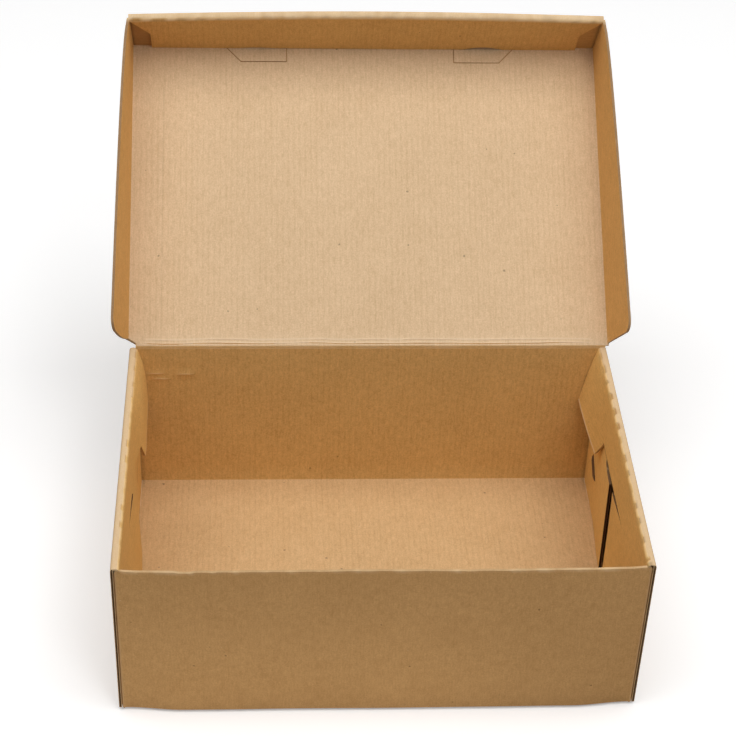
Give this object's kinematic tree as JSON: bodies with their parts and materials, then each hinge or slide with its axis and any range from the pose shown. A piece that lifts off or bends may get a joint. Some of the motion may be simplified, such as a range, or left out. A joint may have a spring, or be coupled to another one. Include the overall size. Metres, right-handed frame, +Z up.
{
  "type": "open cardboard box",
  "caption": "Folded corrugated shoe-box carton with rollover side walls, hooked tongues and an attached lid that swings open on the crease above the rear wall.",
  "frame": {"origin": "centre of the tray's underside, on the surface it stands on", "axes": "+Z up, -Y towards the front wall, +X to the right seen from the front; the lid's hinge axis runs along X above the rear wall"},
  "size_m": [0.3012, 0.3461, 0.2544],
  "materials": {
    "kraft_board": "matte"
  },
  "bodies": {
    "tray": {"tray": "kraft_board"},
    "lid": {"lid": "kraft_board"}
  },
  "joints": [
    {"name": "lid_hinge", "type": "hinge", "parent": "tray", "child": "lid", "pos_m": [0, 0.09425, 0.106], "axis": [-1, 0, 0], "range_deg": [-143, 65]}
  ]
}
